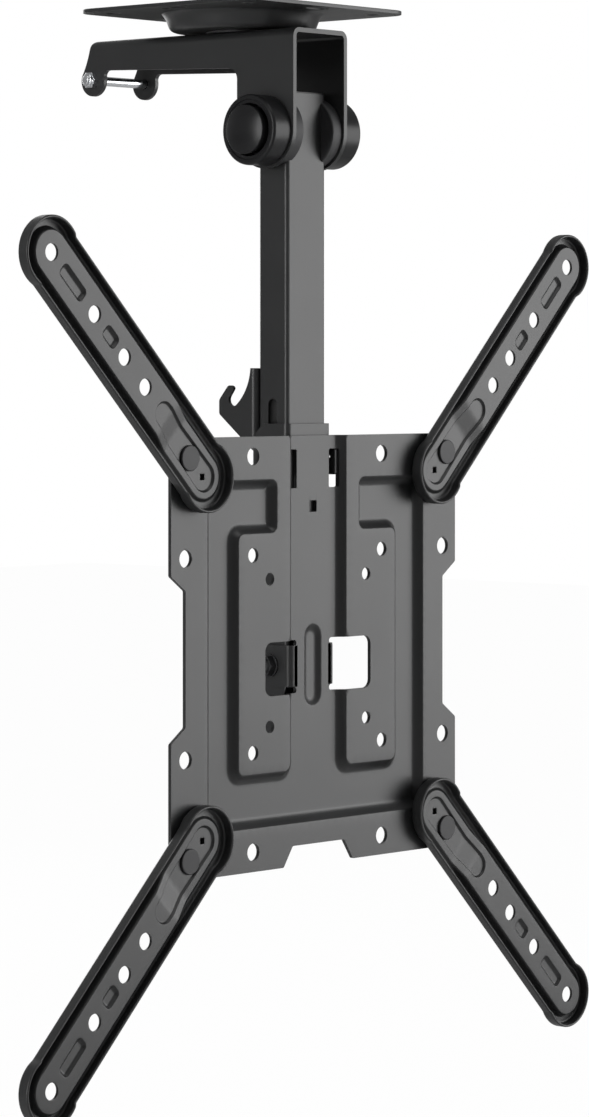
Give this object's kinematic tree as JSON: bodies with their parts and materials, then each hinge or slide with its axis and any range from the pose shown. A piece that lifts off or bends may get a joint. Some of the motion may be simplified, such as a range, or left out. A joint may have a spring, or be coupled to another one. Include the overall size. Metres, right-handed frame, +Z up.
{
  "type": "tv ceiling mount",
  "caption": "Fold-down ceiling mount: swivelling bracket, hinged pole with a sliding hook latch, tilting screen plate and swinging slotted arms.",
  "frame": {"origin": "centre of the ceiling plate's top face, on the swivel axis", "axes": "+Z up to the ceiling, -Y towards the viewer of the screen, +X to the right seen from the screen side"},
  "size_m": [0.4358, 0.16, 0.5495],
  "materials": {
    "powder_coat": "satin black powder coat on pressed steel, fine orange peel, slightly lighter edges",
    "zinc_plate": "bright zinc plating",
    "black_steel": "black oxide, smoother than the coated sheets",
    "black_plastic": "moulded black plastic with a soft sheen",
    "friction_plastic": "dark nylon washer"
  },
  "bodies": {
    "ceiling_base": {"ceiling_plate": "powder_coat", "swivel_bolt": "zinc_plate", "swivel_head_washer": "zinc_plate", "swivel_glide_washer": "friction_plastic", "swivel_lower_washer": "zinc_plate", "swivel_nut": "zinc_plate"},
    "bracket": {"fold_bracket": "powder_coat", "pivot_bolt": "zinc_plate", "pivot_nut": "zinc_plate", "pivot_steel_washers": "zinc_plate", "pivot_cover_left": "black_plastic", "pivot_cover_right": "black_plastic", "pivot_cap_left": "black_plastic", "pivot_cap_right": "black_plastic", "latch_bolt": "zinc_plate", "latch_nut": "zinc_plate"},
    "pole": {"pole_tube": "powder_coat", "pole_plug": "black_plastic", "pivot_friction_washers": "friction_plastic", "pivot_spacer": "zinc_plate", "tilt_spacer": "zinc_plate"},
    "latch": {"latch_sleeve": "powder_coat", "latch_hooks": "powder_coat", "latch_pin": "black_steel"},
    "screen_plate": {"vesa_plate": "powder_coat", "tilt_bolt": "zinc_plate", "tilt_nut": "zinc_plate", "tilt_washers": "zinc_plate", "arm_rivets": "black_steel", "arm_washers": "black_plastic"},
    "arm_top_left": {"arm_top_left": "powder_coat"},
    "arm_top_right": {"arm_top_right": "powder_coat"},
    "arm_bottom_left": {"arm_bottom_left": "powder_coat"},
    "arm_bottom_right": {"arm_bottom_right": "powder_coat"}
  },
  "joints": [
    {"name": "ceiling_swivel", "type": "hinge", "parent": "ceiling_base", "child": "bracket", "pos_m": [0, 0, -0.0126], "axis": [0, 0, 1], "continuous": true},
    {"name": "fold", "type": "hinge", "parent": "bracket", "child": "pole", "pos_m": [0, -0.0347, -0.065], "axis": [1, 0, 0], "range_deg": [0, 92.5]},
    {"name": "latch_slide", "type": "slide", "parent": "pole", "child": "latch", "axis": [0, 0, 1], "range_m": [0, 0.01344]},
    {"name": "screen_tilt", "type": "hinge", "parent": "pole", "child": "screen_plate", "pos_m": [0, -0.0347, -0.3398], "axis": [1, 0, 0], "range_deg": [0, 15]},
    {"name": "arm_top_left_swing", "type": "hinge", "parent": "screen_plate", "child": "arm_top_left", "pos_m": [-0.1, -0.053, -0.2316], "axis": [0, 1, 0], "range_deg": [-45, 45]},
    {"name": "arm_top_right_swing", "type": "hinge", "parent": "screen_plate", "child": "arm_top_right", "pos_m": [0.1, -0.053, -0.2316], "axis": [0, 1, 0], "range_deg": [-45, 45]},
    {"name": "arm_bottom_left_swing", "type": "hinge", "parent": "screen_plate", "child": "arm_bottom_left", "pos_m": [-0.1, -0.053, -0.4316], "axis": [0, 1, 0], "range_deg": [-45, 45]},
    {"name": "arm_bottom_right_swing", "type": "hinge", "parent": "screen_plate", "child": "arm_bottom_right", "pos_m": [0.1, -0.053, -0.4316], "axis": [0, 1, 0], "range_deg": [-45, 45]}
  ]
}
